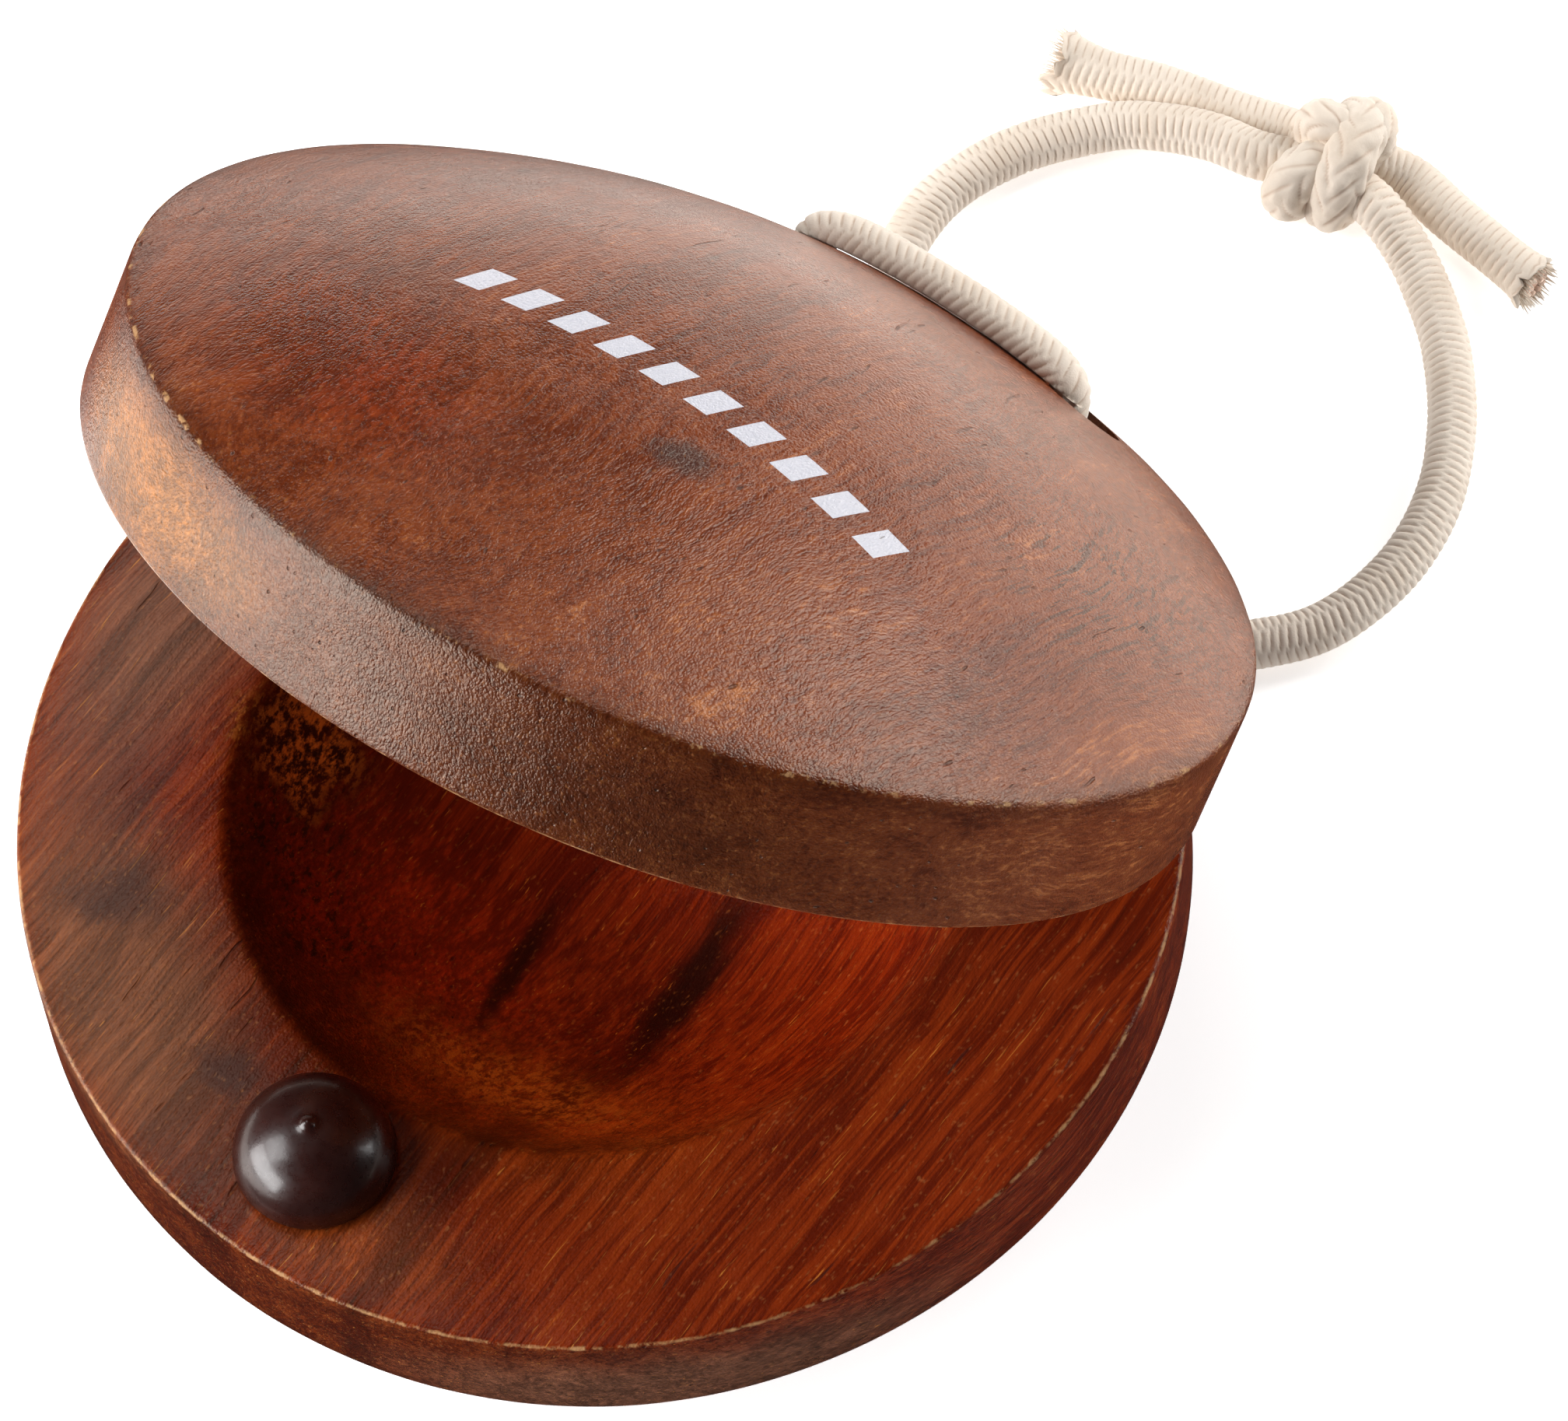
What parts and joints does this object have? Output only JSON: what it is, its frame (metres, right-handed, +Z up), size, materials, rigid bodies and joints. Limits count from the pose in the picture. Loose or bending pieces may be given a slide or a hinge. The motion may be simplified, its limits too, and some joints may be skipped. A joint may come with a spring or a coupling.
{
  "type": "pair of castanets",
  "caption": "Round wooden castanets: two scooped, domed shells that rock open on bevelled backs, held by an elastic finger loop, with a strike button on the lower rim.",
  "frame": {"origin": "centre of the flat under the lower shell, on the surface it stands on", "axes": "+Z up, the lower rim's normal; X along the line that the shells rock on; -Y towards the strike button; +Y towards the cord holes and the finger loop"},
  "size_m": [0.056, 0.0848, 0.0522],
  "materials": {
    "wood_lower": "satin lacquered dark hardwood, redder and glossier on the clapping face",
    "wood_upper": "satin lacquered walnut-brown hardwood with fine open pores",
    "button_plastic": "glossy, very dark brown",
    "elastic_braid": "matt cream braid"
  },
  "bodies": {
    "lower": {"lower_shell": "wood_lower", "strike_button": "button_plastic", "elastic_left": "elastic_braid", "elastic_right": "elastic_braid", "elastic_knot": "elastic_braid", "elastic_tail_left": "elastic_braid", "elastic_tail_right": "elastic_braid"},
    "upper": {"upper_shell": "wood_upper", "elastic_span": "elastic_braid"}
  },
  "joints": [
    {"name": "clap", "type": "hinge", "parent": "lower", "child": "upper", "pos_m": [0, 0.021, 0.01403], "axis": [1, 0, 0], "range_deg": [0, 37.5], "stiffness_Nm_per_rad": 0.034, "springref_deg": -13.46}
  ]
}
